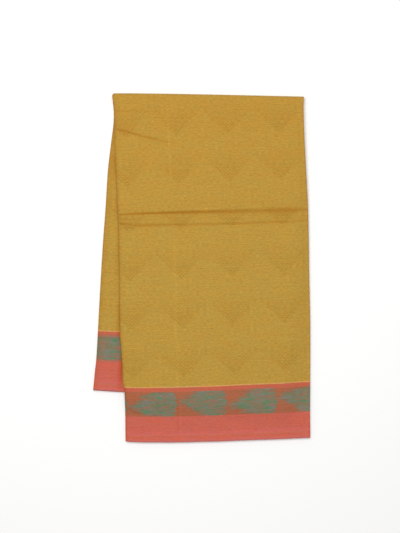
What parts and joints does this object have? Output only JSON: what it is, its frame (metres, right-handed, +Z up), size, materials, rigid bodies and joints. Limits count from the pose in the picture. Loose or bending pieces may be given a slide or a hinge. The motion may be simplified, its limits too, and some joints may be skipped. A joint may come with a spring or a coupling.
{
  "type": "saree",
  "caption": "Cotton saree folded lengthwise to a long strip, doubled over and laid flat, mustard field with coral borders and a band of ikat drops.",
  "frame": {"origin": "middle of the bounding box seen from above, on the surface that the saree lies on", "axes": "+Z up, +Y along the strip towards the doubled fold, +X across the strip towards the side where the folded layers show"},
  "size_m": [0.39, 0.6268, 0.0146],
  "materials": {
    "field_cotton": "matte handloom cotton, mustard, with a tone on tone woven lattice",
    "border_cotton": "matte handloom cotton, coral, with a band of grey-green ikat drops on rust"
  },
  "bodies": {
    "root": {"front_field": "field_cotton", "front_border": "border_cotton", "back_field": "field_cotton", "back_border": "border_cotton", "hidden_layers": "field_cotton"}
  },
  "joints": []
}
